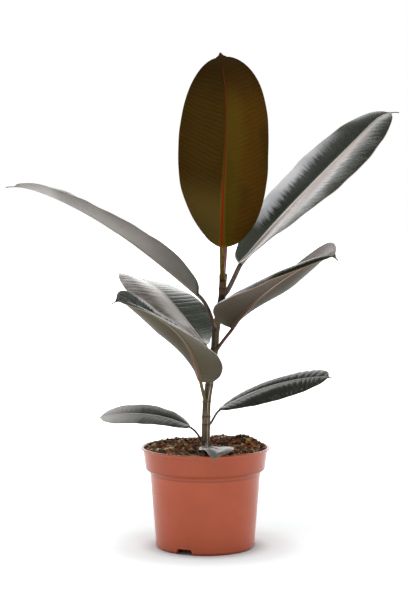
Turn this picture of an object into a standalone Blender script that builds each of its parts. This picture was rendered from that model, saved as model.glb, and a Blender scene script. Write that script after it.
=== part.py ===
"""Potted rubber fig: a terracotta-coloured nursery pot, its soil, a stem with its bud, and nine leaves.

The origin is on the pot's axis, on the surface that the pot stands on. Metres, +Z up, and the plant is seen
best from -Y. Angles are in degrees, and directions seen from above run anticlockwise from +X.
"""

import math
from dataclasses import dataclass

import bmesh
import bpy
import numpy as np
from mathutils import Vector

# The small gap that neighbouring pieces keep
CLEARANCE = 0.0003

# Faces that meet at more than this angle show an edge, on moulded pieces and on grown ones
HARD_EDGE_ANGLE = 35.0
SOFT_EDGE_ANGLE = 60.0

# Pot, a 17 cm nursery pot
POT_HEIGHT = 0.1325
LIP_RADIUS = 0.085
LIP_HEIGHT = 0.0028
LIP_ROUNDING = 0.0013
LIP_ROOT_RADIUS = 0.0819
COLLAR_FOOT_RADIUS = 0.0787
COLLAR_FOOT_HEIGHT = 0.1055
COLLAR_ROUNDING = 0.0032
BODY_TOP_RADIUS = 0.0727
BODY_TOP_HEIGHT = 0.1010
BODY_FOOT_RADIUS = 0.0653
BODY_FOOT_HEIGHT = 0.009
BODY_ROUNDING = 0.0016
FOOT_RADIUS = 0.0622
FOOT_RING_WIDTH = 0.0026
POT_WALL = 0.0016
POT_FLOOR_HEIGHT = 0.0086
CENTRE_PAD_RADIUS = 0.022
CENTRE_PAD_DRAFT = 0.002
POT_STEPS = 48

# Drainage: notches through the foot ring, and holes through the raised floor
NOTCH_COUNT = 3
NOTCH_TURN = -115.0
NOTCH_TOP_WIDTH = 0.019
NOTCH_FOOT_WIDTH = 0.026
NOTCH_HEIGHT = 0.0076
NOTCH_REACH = 0.016
HOLE_COUNT = 6
HOLE_RADIUS = 0.0045
HOLE_CIRCLE_RADIUS = 0.042
CUT_MARGIN = 0.002

# Soil
SOIL_HEIGHT = 0.1300
SOIL_RINGS = 7
SOIL_STEPS = 32
SOIL_LUMP_HEIGHT = 0.0011
SOIL_LUMP_SPACING = 0.034
STEM_HOLE_PLAY = 0.0001

# Heaps and hollows of the soil's surface: x, y, radius, height
SOIL_HEAPS = (
    (0.050, 0.034, 0.021, 0.0095),
    (0.020, 0.060, 0.017, 0.0055),
    (0.000, 0.000, 0.020, 0.0012),
    (0.004, -0.044, 0.026, -0.0026),
    (-0.058, -0.008, 0.026, -0.0022),
)

# Stem: height and sideways place of its centre where it bends
STEM_BENDS = (
    (0.098, 0.0008),
    (0.149, 0.0008),
    (0.191, 0.0017),
    (0.263, 0.0125),
    (0.288, 0.0140),
    (0.330, 0.0220),
    (0.360, 0.0237),
)
STEM_FOOT_RADIUS = 0.0056
STEM_TOP_RADIUS = 0.0048
STEM_POINT_SPACING = 0.012
NODE_HEIGHTS = (0.1395, 0.162, 0.1725, 0.1925, 0.214, 0.238, 0.262, 0.289, 0.315, 0.341, 0.3575)
NODE_RING = 0.0006
NODE_RING_LENGTH = 0.0022

# Terminal bud, the slender sheath round the next leaf
BUD_LENGTH = 0.072
BUD_RADIUS = 0.0030
BUD_TIP_RADIUS = 0.0006
BUD_SWELL = 0.12
BUD_LEAN = (0.11, 0.14)
BUD_STEPS = 10

# Petioles and blades
PETIOLE_ROWS = 6
PETIOLE_RISE = 55.0
PETIOLE_EDGE_ANGLE = 82.0
BLADE_THICKNESS = 0.0008
BLADE_MERGE_SHARE = 0.06
DRIP_TIP_SHARE = 0.036
DROOP_START = 0.82
MIDRIB_STEPS = 240


@dataclass(frozen=True)
class Leaf:
    """One leaf. Triples run from the blade's base to its tip. Left is as seen along it from above."""

    node: float  # height of its node on the stem
    out: float  # direction in which its petiole leaves the stem
    base: tuple  # where the petiole meets the blade
    length: float
    width: float
    rise: tuple  # angle of the midrib above level, at base, middle and tip
    heading: tuple  # direction of the midrib seen from above
    roll: tuple = (0.0, 0.0, 0.0)  # turn of the blade about its midrib, left side up
    fold: tuple = (12.0, 12.0)  # lift of the left and the right half at the midrib
    curl: tuple = (10.0, 10.0)  # how much further each half bends out to its margin
    open_base: tuple = (1.0, 1.0)  # share of the fold and the curl that each half has at the base
    open_tip: tuple = (1.0, 1.0)  # and at the tip
    cup: tuple = (0.0, 0.0)  # how much further each half is lifted at the base, which fades out by the middle
    tip_droop: float = 0.0  # how much further the last part of the midrib bends, up or down
    right_share: float = 1.0  # width of the right half against the mean of the two
    widest: float = 0.48  # share of the length where the blade is widest
    base_roundness: float = 2.2  # 2 is an ellipse, and more is squarer
    tip_roundness: float = 2.15
    drip_start: float = 0.955  # share of the length where the narrow drip tip starts
    petiole: float = 0.0022  # radius
    petiole_pull: tuple = (0.36, 0.36)  # how far it keeps its direction from the stem, and into the blade
    columns: int = 4  # cross-section points on each side of the midrib
    rows: int = 18


LEAVES = {
    "leaf_top": Leaf(
        node=0.3530, out=-97, base=(0.0216, -0.0200, 0.3957), length=0.259, width=0.125, petiole=0.0031,
        rise=(79, 69, 65), heading=(-92, -84, -118), roll=(-21, -6, 12), fold=(26, 25), curl=(-6, -9),
        open_base=(1.35, 1.15), open_tip=(0.75, 0.5), right_share=1.03, widest=0.45, base_roundness=2.5,
        tip_roundness=2.15, drip_start=0.978,
    ),
    "leaf_upper_right": Leaf(
        node=0.3335, out=15, base=(0.0464, 0.0220, 0.3710), length=0.322, width=0.122, petiole=0.0032,
        petiole_pull=(0.3, 0.1), rise=(51.7, 40.4, 44.9), heading=(9.5, 30.8, 17.6), roll=(5, 6, 15.5),
        fold=(10.5, 12), curl=(-12, -21), open_base=(1.0, 1.04), open_tip=(0.57, 0.72), cup=(29, 9),
        tip_droop=-53, right_share=1.01, widest=0.536, base_roundness=1.73, tip_roundness=2.16,
    ),
    "leaf_upper_left": Leaf(
        node=0.2885, out=-112, base=(-0.0095, -0.0050, 0.3325), length=0.309, width=0.109, petiole=0.0025,
        rise=(36, 31, 12), heading=(154, 164, 173), roll=(32, 7, -9), fold=(14, 16), curl=(15, -14),
        open_base=(1.15, 1.3), open_tip=(1.15, 1.1), tip_droop=-22, widest=0.38, base_roundness=2.25,
        tip_roundness=2.45,
    ),
    "leaf_mid_right": Leaf(
        node=0.2620, out=-40, base=(0.0359, -0.0080, 0.2890), length=0.250, width=0.114,
        rise=(37.9, 25.5, 19.9), heading=(-63.1, -55.6, -56.3), roll=(-34.5, -46.1, 0), fold=(4, -17),
        curl=(153, -78), open_base=(1.13, 0.80), open_tip=(0.67, 0.59), cup=(57, 31), tip_droop=-59,
        right_share=0.95, widest=0.43, base_roundness=3.05, tip_roundness=1.72, columns=5,
    ),
    "leaf_back_left": Leaf(
        node=0.2360, out=115, base=(-0.0010, 0.0250, 0.2647), length=0.214, width=0.109,
        rise=(45, 24, 8), heading=(144, 121, 154), roll=(10, 8, 12), fold=(3, 1), curl=(-18, -2),
        base_roundness=2.1,
    ),
    "leaf_front_left": Leaf(
        node=0.1925, out=-110, base=(-0.0062, -0.0140, 0.2200), length=0.234, width=0.112,
        rise=(60.7, 27.6, 27.5), heading=(-109.7, -120.4, -145.4), roll=(16, 32.5, 13.5), fold=(-41, -12),
        curl=(-23, 164), open_base=(1.03, 1.01), open_tip=(0.60, 0.81), cup=(23, 54), tip_droop=-56,
        right_share=1.12, widest=0.435, base_roundness=3.36, tip_roundness=1.74, columns=5,
    ),
    "leaf_low_right": Leaf(
        node=0.1620, out=10, base=(0.0201, 0.0130, 0.1797), length=0.166, width=0.064, petiole=0.0015,
        rise=(24, 17, 0), heading=(36, -4, -40), roll=(3, 29, 36), fold=(12, 15), curl=(-69, -40),
        open_base=(1.0, 0.75), open_tip=(0.1, 0.35), base_roundness=2.1, columns=3, rows=14,
    ),
    "leaf_low_left": Leaf(
        node=0.1400, out=170, base=(-0.0207, -0.0050, 0.1589), length=0.130, width=0.053, petiole=0.0014,
        rise=(26, 2, -14), heading=(172, 164, 170), roll=(-17, -26, -36), fold=(13, 6), curl=(-14, -23),
        columns=3, rows=14,
    ),
    "leaf_rim": Leaf(
        node=0.1385, out=-80, base=(0.0022, -0.0211, 0.1354), length=0.097, width=0.045, petiole=0.0013,
        rise=(-10, 7, -15), heading=(-69, -82, -124), roll=(-9, -2, -11), fold=(41, 34), curl=(-59, -62),
        open_base=(0.78, 0.90), open_tip=(0.95, 1.53), tip_droop=-77, right_share=1.04, widest=0.49,
        base_roundness=2.0, tip_roundness=1.97, columns=3, rows=14,
    ),
}


def material(name, colour, roughness, metallic=0.0):
    made = bpy.data.materials.new(name)
    made.use_nodes = True
    shader = made.node_tree.nodes["Principled BSDF"]
    shader.inputs["Base Color"].default_value = (*colour, 1.0)
    shader.inputs["Roughness"].default_value = roughness
    shader.inputs["Metallic"].default_value = metallic
    made.diffuse_color = (*colour, 1.0)
    return made


def link(made, group, surface):
    """Puts an object in a collection, with its one material."""
    group.objects.link(made)
    made.data.materials.clear()
    made.data.materials.append(surface)
    return made


def shade_round(made, sharp_angle):
    made.data.shade_smooth()
    made.data.set_sharp_from_angle(angle=math.radians(sharp_angle))


def evaluated_mesh(made):
    """The object's mesh with its modifiers applied."""
    graph = bpy.context.evaluated_depsgraph_get()
    return bpy.data.meshes.new_from_object(made.evaluated_get(graph))


def turned(name, profile, steps, group, surface):
    """A solid of revolution about Z. The profile is (radius, height) pairs, down outside and up inside."""
    outline = bpy.data.meshes.new(name + "_outline")
    points = [(radius, 0.0, height) for radius, height in profile]
    edges = [(i, (i + 1) % len(points)) for i in range(len(points))]
    if profile[0][0] == 0.0 and profile[-1][0] == 0.0:
        edges.pop()
    outline.from_pydata(points, edges, [])
    made = bpy.data.objects.new(name, outline)
    link(made, group, surface)
    screw = made.modifiers.new("turn", "SCREW")
    screw.angle = math.tau
    screw.steps = steps
    screw.render_steps = steps
    screw.use_merge_vertices = True
    screw.merge_threshold = 0.00001
    bpy.context.view_layer.update()
    made.data = evaluated_mesh(made)
    made.modifiers.clear()
    bpy.data.meshes.remove(outline)
    return made


def cutter(name, shape, group):
    """A hidden solid made by a bmesh function, for a Boolean."""
    mesh = bpy.data.meshes.new(name)
    work = bmesh.new()
    shape(work)
    work.to_mesh(mesh)
    work.free()
    made = bpy.data.objects.new(name, mesh)
    made.hide_render = True
    made.display_type = "WIRE"
    group.objects.link(made)
    return made


def cut(made, tool):
    boolean = made.modifiers.new("cut_" + tool.name, "BOOLEAN")
    boolean.operation = "DIFFERENCE"
    boolean.solver = "EXACT"
    boolean.object = tool


# Pot


def pot_outside():
    """(radius, height) down the outside, from the top of the lip to the foot."""
    lip_foot = POT_HEIGHT - LIP_HEIGHT
    return [
        (LIP_RADIUS - LIP_ROUNDING, POT_HEIGHT),
        (LIP_RADIUS - 0.25 * LIP_ROUNDING, POT_HEIGHT - 0.3 * LIP_ROUNDING),
        (LIP_RADIUS, POT_HEIGHT - LIP_ROUNDING),
        (LIP_RADIUS - 0.4 * LIP_ROUNDING, lip_foot + 0.2 * LIP_ROUNDING),
        (LIP_ROOT_RADIUS, lip_foot - 0.4 * LIP_ROUNDING),
        (COLLAR_FOOT_RADIUS, COLLAR_FOOT_HEIGHT),
        (COLLAR_FOOT_RADIUS - 0.3 * COLLAR_ROUNDING, COLLAR_FOOT_HEIGHT - 0.8 * COLLAR_ROUNDING),
        (COLLAR_FOOT_RADIUS - COLLAR_ROUNDING, COLLAR_FOOT_HEIGHT - 1.25 * COLLAR_ROUNDING),
        (BODY_TOP_RADIUS, BODY_TOP_HEIGHT),
        (BODY_FOOT_RADIUS, BODY_FOOT_HEIGHT),
        (BODY_FOOT_RADIUS - 0.4 * BODY_ROUNDING, BODY_FOOT_HEIGHT * 0.5),
        (BODY_FOOT_RADIUS - BODY_ROUNDING, BODY_FOOT_HEIGHT * 0.2),
        (FOOT_RADIUS, 0.0),
    ]


def pot_underside():
    """(radius, height) from the foot ring to the axis: a raised floor, and a pad on the ground."""
    return [
        (FOOT_RADIUS - FOOT_RING_WIDTH, 0.0),
        (FOOT_RADIUS - FOOT_RING_WIDTH, POT_FLOOR_HEIGHT),
        (CENTRE_PAD_RADIUS + CENTRE_PAD_DRAFT, POT_FLOOR_HEIGHT),
        (CENTRE_PAD_RADIUS, 0.0),
        (0.0, 0.0),
    ]


def pot_inside():
    """(radius, height) from the axis up the inside to the top of the lip."""
    floor = POT_FLOOR_HEIGHT + POT_WALL
    return [
        (0.0, POT_WALL),
        (CENTRE_PAD_RADIUS - CENTRE_PAD_DRAFT / 2, POT_WALL),
        (CENTRE_PAD_RADIUS + CENTRE_PAD_DRAFT / 2, floor),
        (BODY_FOOT_RADIUS - POT_WALL, floor),
        (BODY_TOP_RADIUS - POT_WALL, BODY_TOP_HEIGHT + 0.0012),
        (COLLAR_FOOT_RADIUS - POT_WALL, COLLAR_FOOT_HEIGHT - 0.0008),
        (LIP_ROOT_RADIUS - POT_WALL, POT_HEIGHT - LIP_HEIGHT),
        (LIP_ROOT_RADIUS - POT_WALL / 2, POT_HEIGHT - 0.4 * POT_WALL),
        (LIP_ROOT_RADIUS, POT_HEIGHT),
    ]


def notch_shape(work):
    """Wedges through the foot ring, wider at the ground."""
    for k in range(NOTCH_COUNT):
        box = bmesh.ops.create_cube(work, size=1.0)["verts"]
        turn = math.radians(NOTCH_TURN + k * 360.0 / NOTCH_COUNT)
        for point in box:
            width = NOTCH_TOP_WIDTH if point.co.z > 0 else NOTCH_FOOT_WIDTH
            height = NOTCH_HEIGHT if point.co.z > 0 else -CUT_MARGIN
            out = FOOT_RADIUS + NOTCH_REACH * point.co.x
            side = width * point.co.y
            point.co = (
                out * math.cos(turn) - side * math.sin(turn),
                out * math.sin(turn) + side * math.cos(turn),
                height,
            )


def drain_hole_shape(work):
    depth = POT_WALL + 2 * CUT_MARGIN
    for k in range(HOLE_COUNT):
        turn = math.radians(NOTCH_TURN + k * 360.0 / HOLE_COUNT)
        hole = bmesh.ops.create_cone(
            work, cap_ends=True, segments=10, radius1=HOLE_RADIUS, radius2=HOLE_RADIUS, depth=depth
        )["verts"]
        middle = Vector((math.cos(turn), math.sin(turn), 0.0)) * HOLE_CIRCLE_RADIUS
        for point in hole:
            point.co += middle + Vector((0.0, 0.0, POT_FLOOR_HEIGHT + POT_WALL / 2))


def make_pot(parts, cutters):
    surface = material("terracotta_plastic", (0.52, 0.20, 0.115), 0.42)
    profile = pot_outside() + pot_underside() + pot_inside()
    pot = turned("pot", profile, POT_STEPS, parts, surface)
    cut(pot, cutter("foot_notches", notch_shape, cutters))
    cut(pot, cutter("drain_holes", drain_hole_shape, cutters))
    shade_round(pot, HARD_EDGE_ANGLE)
    return pot


# Soil


def soil_relief(x, y):
    """Height of the soil's surface above its mean level."""
    relief = 0.0
    for heap_x, heap_y, radius, height in SOIL_HEAPS:
        relief += height * math.exp(-((x - heap_x) ** 2 + (y - heap_y) ** 2) / radius**2)
    turn = math.tau / SOIL_LUMP_SPACING
    across = math.sin(turn * x + 1.3 * math.sin(turn * 0.6 * y))
    back = math.sin(turn * y + 0.9 * math.sin(turn * 0.7 * x))
    return relief + SOIL_LUMP_HEIGHT * across * back


def collar_inner_radius(height):
    heights = (COLLAR_FOOT_HEIGHT, POT_HEIGHT - LIP_HEIGHT)
    return float(np.interp(height, heights, (COLLAR_FOOT_RADIUS, LIP_ROOT_RADIUS))) - POT_WALL


def soil_profile():
    """(radius, height) from the middle of the surface out, down the pot's inside and along its floor."""
    wall = [(radius, height) for radius, height in pot_inside() if height < SOIL_HEIGHT]
    edge_radius = collar_inner_radius(SOIL_HEIGHT) - CLEARANCE
    rings = [(edge_radius * k / SOIL_RINGS, SOIL_HEIGHT) for k in range(SOIL_RINGS + 1)]
    side = [(max(0.0, radius - CLEARANCE), height + CLEARANCE) for radius, height in reversed(wall)]
    return rings + side


def heap_soil(mesh):
    """Gives the flat top its relief, and keeps its edge as near to the pot's wall at every height."""
    edge_radius = collar_inner_radius(SOIL_HEIGHT)
    for point in mesh.vertices:
        x, y, height = point.co
        if abs(height - SOIL_HEIGHT) < 1e-6:
            height += soil_relief(x, y)
            fit = collar_inner_radius(height) / edge_radius
            point.co = (x * fit, y * fit, height)


def make_soil(parts, cutters):
    surface = material("potting_soil", (0.045, 0.024, 0.013), 0.95)
    soil = turned("soil", soil_profile(), SOIL_STEPS, parts, surface)
    heap_soil(soil.data)
    foot, place = STEM_BENDS[0]
    radius = STEM_FOOT_RADIUS + CLEARANCE + STEM_HOLE_PLAY
    depth = POT_HEIGHT - foot

    def stem_hole(work):
        hole = bmesh.ops.create_cone(
            work, cap_ends=True, segments=24, radius1=radius, radius2=radius, depth=depth
        )["verts"]
        for point in hole:
            point.co += Vector((place, 0.0, foot - CLEARANCE + depth / 2))

    cut(soil, cutter("stem_hole", stem_hole, cutters))
    shade_round(soil, SOFT_EDGE_ANGLE)
    return soil


# Stem and bud


def stem_centre(height):
    heights, places = zip(*STEM_BENDS)
    return Vector((float(np.interp(height, heights, places)), 0.0, height))


def stem_radius(height):
    """Tapers evenly, and swells into a ring at each node."""
    share = (height - STEM_BENDS[0][0]) / (STEM_BENDS[-1][0] - STEM_BENDS[0][0])
    radius = STEM_FOOT_RADIUS + (STEM_TOP_RADIUS - STEM_FOOT_RADIUS) * share
    nearest = min(abs(height - node) for node in NODE_HEIGHTS)
    return radius + NODE_RING * max(0.0, 1.0 - nearest / NODE_RING_LENGTH)


def tube(name, centres, radii, sides_step, group, surface):
    """A round tube through the centres, with its own radius at each, as a curve with filled ends."""
    curve = bpy.data.curves.new(name, "CURVE")
    curve.dimensions = "3D"
    curve.bevel_depth = 1.0
    curve.bevel_resolution = sides_step
    curve.use_fill_caps = True
    spline = curve.splines.new("POLY")
    spline.points.add(len(centres) - 1)
    for point, centre, radius in zip(spline.points, centres, radii):
        point.co = (*centre, 1.0)
        point.radius = radius
    made = bpy.data.objects.new(name, curve)
    return link(made, group, surface)


def stem_heights():
    """Heights of the stem's cross-sections: evenly spaced, with three at each node's ring."""
    foot, top = STEM_BENDS[0][0], STEM_BENDS[-1][0]
    rings = {node + side * NODE_RING_LENGTH for node in NODE_HEIGHTS for side in (-1, 0, 1)}
    count = round((top - foot) / STEM_POINT_SPACING)
    even = {foot + (top - foot) * k / count for k in range(count + 1)}
    clear = {h for h in even if min(abs(h - ring) for ring in rings) > NODE_RING_LENGTH}
    return sorted(clear | {h for h in rings if foot < h < top} | {foot, top})


def make_stem(parts):
    surface = material("stem_bark", (0.105, 0.075, 0.035), 0.6)
    heights = stem_heights()
    centres = [stem_centre(h) for h in heights]
    return tube("stem", centres, [stem_radius(h) for h in heights], 4, parts, surface)


def make_bud(parts):
    """A tapered sheath that leaves the stem's top straight up and leans over above it."""
    surface = material("bud_sheath", (0.42, 0.13, 0.10), 0.45)
    foot = stem_centre(STEM_BENDS[-1][0]) + Vector((0.0, 0.0, CLEARANCE))
    shares = [k / BUD_STEPS for k in range(BUD_STEPS + 1)]
    centres = [foot + Vector((BUD_LEAN[0] * s**1.5, BUD_LEAN[1] * s**1.5, s)) * BUD_LENGTH for s in shares]
    swell = [BUD_RADIUS * (1.0 + BUD_SWELL * math.sin(math.pi * min(1.0, 2.0 * s))) for s in shares]
    radii = [BUD_TIP_RADIUS + (r - BUD_TIP_RADIUS) * math.sqrt(1.0 - s**1.6) for r, s in zip(swell, shares)]
    return tube("bud", centres, radii, 3, parts, surface)


# Leaves


def along(values, share):
    """Value at a share of the length, through a triple for base, middle and tip."""
    base, middle, tip = values
    rest = 1 - share
    return base * rest * (rest - share) + 4 * middle * share * rest + tip * share * (share - rest)


def midrib(leaf, shares):
    """Points of the midrib at shares of its length, with the directions ahead, left and up at each."""
    fine = np.linspace(0.0, 1.0, MIDRIB_STEPS + 1)
    droop = leaf.tip_droop * np.clip((fine - DROOP_START) / (1 - DROOP_START), 0.0, 1.0) ** 2
    rise = np.radians(along(leaf.rise, fine) + droop)
    heading = np.radians(along(leaf.heading, fine))
    roll = np.radians(along(leaf.roll, fine))[:, None]
    ahead = np.stack([np.cos(rise) * np.cos(heading), np.cos(rise) * np.sin(heading), np.sin(rise)], axis=1)
    level = np.stack([-np.sin(heading), np.cos(heading), 0 * heading], axis=1)
    over = np.cross(ahead, level)
    steps = (ahead[1:] + ahead[:-1]) / 2 * leaf.length / MIDRIB_STEPS
    points = np.array(leaf.base) + np.vstack([np.zeros(3), np.cumsum(steps, axis=0)])
    left = level * np.cos(roll) + over * np.sin(roll)
    up = over * np.cos(roll) - level * np.sin(roll)
    tables = (points, ahead, left, up)
    return [np.stack([np.interp(shares, fine, column) for column in table.T], axis=1) for table in tables]


def petiole_path(leaf, blade_ahead, blade_up):
    """Points and directions of the petiole: up and out of the stem, then into the line of the midrib."""
    turn, rise = math.radians(leaf.out), math.radians(PETIOLE_RISE)
    out = np.array([math.cos(turn), math.sin(turn), 0.0])
    leaving = out * math.cos(rise) + np.array([0.0, 0.0, math.sin(rise)])
    stem = max(stem_radius(leaf.node + side * leaf.petiole) for side in (-1, 0, 1)) + CLEARANCE
    foot = np.array(stem_centre(leaf.node)) + out * stem
    end = np.array(leaf.base)
    chord = np.linalg.norm(end - foot)
    first = foot + leaving * leaf.petiole_pull[0] * chord
    second = end - blade_ahead * leaf.petiole_pull[1] * chord
    rows = []
    for k in range(PETIOLE_ROWS):
        s = k / PETIOLE_ROWS
        r = 1 - s
        centre = foot * r**3 + 3 * first * s * r**2 + 3 * second * s**2 * r + end * s**3
        ahead = (first - foot) * r**2 + 2 * (second - first) * s * r + (end - second) * s**2
        ahead = ahead / np.linalg.norm(ahead) if k else out
        up = blade_up - ahead * (blade_up @ ahead)
        up /= np.linalg.norm(up)
        rows.append((centre, np.cross(up, ahead), up))
    return rows


def half_width(leaf, share, side):
    """Distance from midrib to margin: a rounded base, an oval blade and a narrow drip tip."""
    place = min(share / leaf.drip_start, 1.0)
    if place < leaf.widest:
        narrowed = (1 - place / leaf.widest) ** leaf.base_roundness
    else:
        narrowed = ((place - leaf.widest) / (1 - leaf.widest)) ** leaf.tip_roundness
    oval = math.sqrt(max(0.0, 1.0 - narrowed))
    part = 2.0 - leaf.right_share if side > 0 else leaf.right_share
    return part * leaf.width / 2 * max(oval, DRIP_TIP_SHARE if share > 0.5 else 0.0)


def openness(leaf, share, half):
    """How much of its fold and curl a half (0 left, 1 right) has here."""
    base = 1 + (leaf.open_base[half] - 1) * max(0.0, 1 - share / 0.4) ** 1.5
    tip = 1 + (leaf.open_tip[half] - 1) * max(0.0, 2 * share - 1) ** 1.5
    return base * tip


def cross_section(leaf, centre, left, up, share):
    """Upper and lower points from the right margin to the left one. At share 0 it is the round petiole."""
    grown = min(share / BLADE_MERGE_SHARE, 1.0)
    grown = grown * grown * (3 - 2 * grown)
    edge_turn = math.radians(PETIOLE_EDGE_ANGLE)
    rib = max(leaf.petiole * (1 - 0.75 * share), BLADE_THICKNESS / 2)
    upper, lower = [], []
    for column in range(-leaf.columns, leaf.columns + 1):
        side, k, half = (1, column, 0) if column > 0 else (-1, -column, 1)
        wide = half_width(leaf, share, side)
        spread = wide + (1 - grown) * leaf.petiole * math.sin(edge_turn)
        bent = openness(leaf, share, half) * min(1.0, wide / (3 * leaf.petiole))
        rib_share = min(1.0 / leaf.columns, 1.4 * leaf.petiole / spread)
        place = rib_share + (1 - rib_share) * (k - 1) / (leaf.columns - 1) if k else 0.0
        turn = edge_turn * k / leaf.columns
        away = wide * place + (1 - grown) * leaf.petiole * math.sin(turn)
        cup = math.radians(leaf.cup[half]) * max(0.0, 1 - 2 * share) ** 1.5
        fold = math.radians(leaf.fold[half]) * bent + cup * min(1.0, wide / (3 * leaf.petiole))
        curl = math.radians(leaf.curl[half]) * bent + 1e-6
        angle = fold + curl * away / spread
        across = spread * (math.sin(angle) - math.sin(fold)) / curl
        lift = spread * (math.cos(fold) - math.cos(angle)) / curl
        middle = centre + left * side * across + up * lift
        normal = up * math.cos(angle) - left * side * math.sin(angle) if k else up
        stalk = leaf.petiole * math.cos(turn)
        blade = BLADE_THICKNESS / 2
        keel = blade if k else rib
        upper.append(middle + normal * (stalk + (blade - stalk) * grown))
        lower.append(middle - normal * (stalk + (keel - stalk) * grown))
    return upper + lower


def leaf_faces(sections, columns):
    """Triangles of the closed skin, split alike on both faces."""
    across = 2 * columns + 1

    def at(section, column, lower):
        return (section * 2 + lower) * across + column

    faces = []
    for i in range(sections - 1):
        for c in range(across - 1):
            for lower in (0, 1):
                near, next_near = at(i, c, lower), at(i, c + 1, lower)
                far, next_far = at(i + 1, c, lower), at(i + 1, c + 1, lower)
                pair = [(near, far, next_far), (near, next_far, next_near)]
                if c < columns:
                    pair = [(near, far, next_near), (next_near, far, next_far)]
                faces += [tuple(reversed(face)) for face in pair] if lower else pair
        faces.append((at(i, 0, 0), at(i, 0, 1), at(i + 1, 0, 1), at(i + 1, 0, 0)))
        last = across - 1
        faces.append((at(i, last, 1), at(i, last, 0), at(i + 1, last, 0), at(i + 1, last, 1)))
    for c in range(across - 1):
        faces.append((at(0, c, 0), at(0, c + 1, 0), at(0, c + 1, 1), at(0, c, 1)))
        end = sections - 1
        faces.append((at(end, c, 1), at(end, c + 1, 1), at(end, c + 1, 0), at(end, c, 0)))
    return faces


def make_leaf(name, leaf, parts, surface):
    """A loft from the round petiole to the thin blade, closed at the stem and at the drip tip."""
    shares = [(1 - math.cos(math.pi * k / leaf.rows)) / 2 for k in range(leaf.rows + 1)]
    centres, ahead, left, up = midrib(leaf, shares)
    sections = [cross_section(leaf, c, l, u, 0.0) for c, l, u in petiole_path(leaf, ahead[0], up[0])]
    sections += [cross_section(leaf, c, l, u, s) for c, l, u, s in zip(centres, left, up, shares)]
    mesh = bpy.data.meshes.new(name)
    points = [tuple(point) for section in sections for point in section]
    mesh.from_pydata(points, [], leaf_faces(len(sections), leaf.columns))
    work = bmesh.new()
    work.from_mesh(mesh)
    bmesh.ops.recalc_face_normals(work, faces=work.faces)
    work.to_mesh(mesh)
    work.free()
    made = bpy.data.objects.new(name, mesh)
    link(made, parts, surface)
    shade_round(made, SOFT_EDGE_ANGLE)
    return made


def main():
    for old in list(bpy.data.objects):
        bpy.data.objects.remove(old, do_unlink=True)
    parts = bpy.data.collections.new("potted_ficus")
    cutters = bpy.data.collections.new("cutters")
    bpy.context.scene.collection.children.link(parts)
    bpy.context.scene.collection.children.link(cutters)
    make_pot(parts, cutters)
    make_soil(parts, cutters)
    make_stem(parts)
    make_bud(parts)
    blade = material("leaf_blade", (0.035, 0.040, 0.022), 0.35)
    for name, leaf in LEAVES.items():
        make_leaf(name, leaf, parts, blade)


main()
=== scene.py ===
from itertools import combinations
import math

import bpy
import numpy as np
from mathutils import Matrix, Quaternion, Vector, noise


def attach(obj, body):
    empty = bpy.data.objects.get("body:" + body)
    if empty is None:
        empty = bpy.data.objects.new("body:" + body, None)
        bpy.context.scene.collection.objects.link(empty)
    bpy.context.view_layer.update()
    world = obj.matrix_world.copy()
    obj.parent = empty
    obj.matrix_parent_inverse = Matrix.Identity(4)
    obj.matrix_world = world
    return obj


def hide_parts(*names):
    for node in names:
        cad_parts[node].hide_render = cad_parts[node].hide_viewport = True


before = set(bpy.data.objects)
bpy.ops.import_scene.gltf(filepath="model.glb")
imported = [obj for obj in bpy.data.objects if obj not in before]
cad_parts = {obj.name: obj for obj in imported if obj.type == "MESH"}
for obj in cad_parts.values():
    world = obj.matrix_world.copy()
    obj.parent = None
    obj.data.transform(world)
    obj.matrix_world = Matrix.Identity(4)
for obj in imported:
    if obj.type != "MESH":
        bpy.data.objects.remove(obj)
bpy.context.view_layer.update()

# Potted rubber fig: its looks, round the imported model. Metres, +Z up, and the photograph looks along +Y.
# Angles are in degrees, and headings run anticlockwise from +X as seen from above.
print("frame loaded:", len(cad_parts), "nodes")

chance = np.random.default_rng(11)

# Camera: as the photograph was taken, from 2.2 m away and a little above the plant's middle
cameraPlan = {"place": (-0.0017, -2.22, 0.473), "downward": 4.0, "lens": 100.0, "sensor": 36.0}


def addObject(name, data):
    made = bpy.data.objects.new(name, data)
    bpy.context.scene.collection.objects.link(made)
    return made


def makeCamera():
    data = bpy.data.cameras.new("camera")
    data.lens = cameraPlan["lens"]
    data.sensor_width = cameraPlan["sensor"]
    made = addObject("camera", data)
    made.location = cameraPlan["place"]
    made.rotation_euler = (math.radians(90 - cameraPlan["downward"]), 0, 0)
    bpy.context.scene.camera = made


makeCamera()
print("camera placed")


def linear(code):
    # a screen colour such as "#4b3512", as the scene's linear colour
    channels = [int(code[i:i + 2], 16) / 255 for i in (1, 3, 5)]
    return tuple(c / 12.92 if c <= 0.04045 else ((c + 0.055) / 1.055) ** 2.4 for c in channels)


def ease(value, low, high):
    # 0 below low, 1 above high, smooth between them
    share = np.clip((value - low) / (high - low), 0, 1)
    return share * share * (3 - 2 * share)


# Shader sums

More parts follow.
